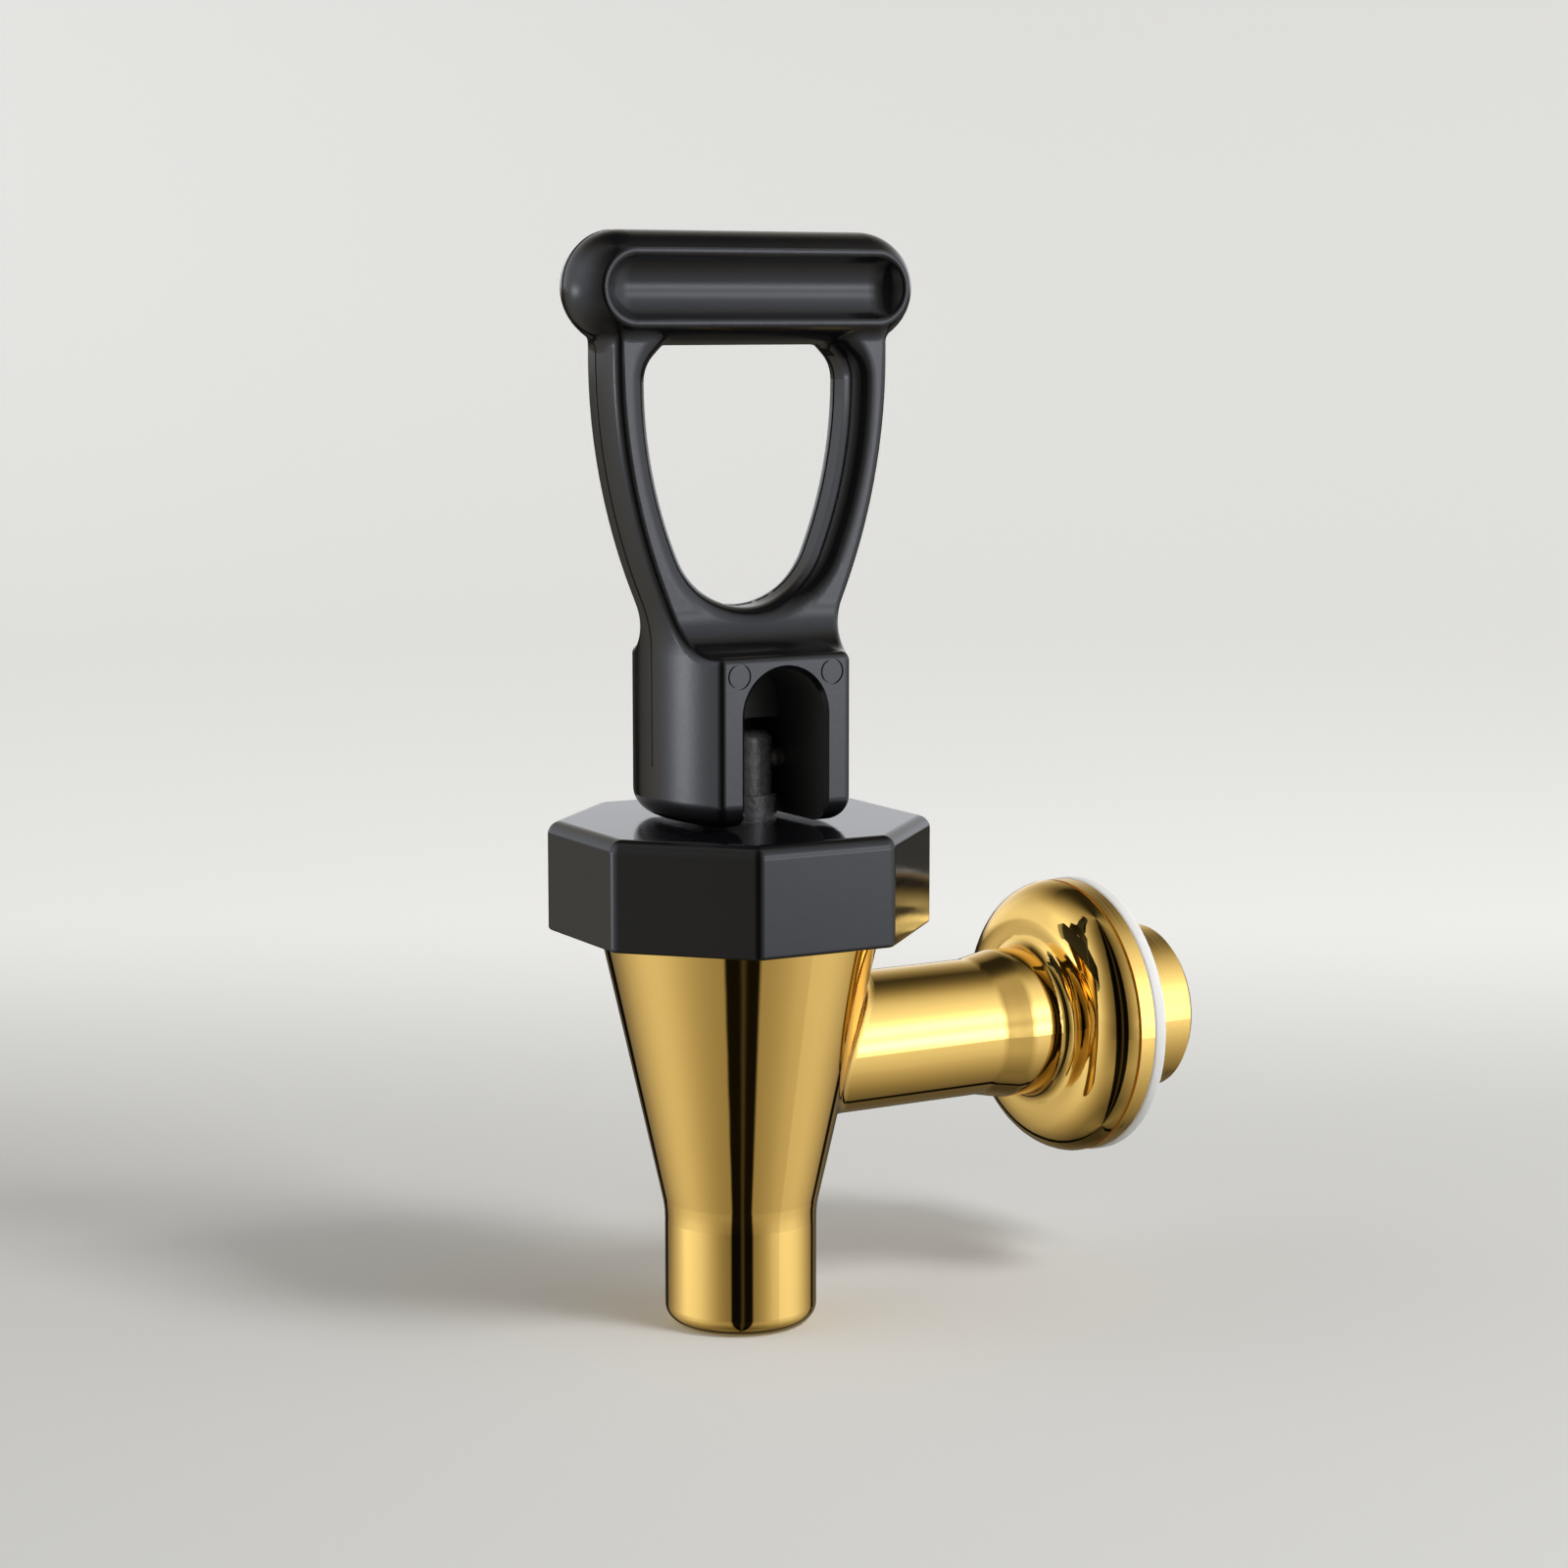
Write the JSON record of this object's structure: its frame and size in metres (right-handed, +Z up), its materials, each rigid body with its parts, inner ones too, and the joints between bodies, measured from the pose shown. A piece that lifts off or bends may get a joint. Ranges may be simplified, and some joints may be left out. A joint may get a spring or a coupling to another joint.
{
  "type": "beverage dispenser spigot",
  "caption": "Self-closing drinks tap: tapered gold spout and flanged side shank, black octagonal bonnet, and an upright D-handle that tips to lift the valve.",
  "frame": {"origin": "on the shank's axis, at the washer's face that meets the tank wall", "axes": "+Y along the shank into the tank, +Z up along the tap's axis, +X the side the handle tips to at rest"},
  "size_m": [0.033, 0.0636, 0.0998],
  "materials": {
    "gold_plate": "mirror polished gold plate, brushed rim and stub",
    "milky_silicone": "translucent milky white",
    "black_gloss": "glossy moulded black",
    "seat_silicone": "translucent silicone",
    "black_stem": "moulded black",
    "steel": "plain steel",
    "spring_steel": "drawn wire",
    "black_handle": "semi-gloss moulded black"
  },
  "bodies": {
    "tap_body": {"valve_body": "gold_plate", "bonnet": "black_gloss", "flange_washer": "milky_silicone", "spring": "spring_steel"},
    "seat": {"seat_cup": "seat_silicone"},
    "stem": {"stem": "black_stem", "pivot_pin": "steel"},
    "handle": {"handle": "black_handle"}
  },
  "joints": [
    {"name": "seat_lift", "type": "slide", "parent": "tap_body", "child": "seat", "axis": [0, 0, 1], "range_m": [0, 0.0039], "stiffness_N_per_m": 1000, "springref_m": -0.008, "deforming": ["spring", "seat_cup"]},
    {"name": "handle_swivel", "type": "hinge", "parent": "seat", "child": "stem", "pos_m": [0, -0.0389, 0.0274], "axis": [0, 0, 1], "continuous": true},
    {"name": "handle_tilt", "type": "hinge", "parent": "stem", "child": "handle", "pos_m": [0, -0.0389, 0.0274], "axis": [0, 1, 0], "range_deg": [0, 45]}
  ],
  "couplings": [
    {"joint": "handle_tilt", "follows": "seat_lift", "rad_per_m": 200}
  ]
}
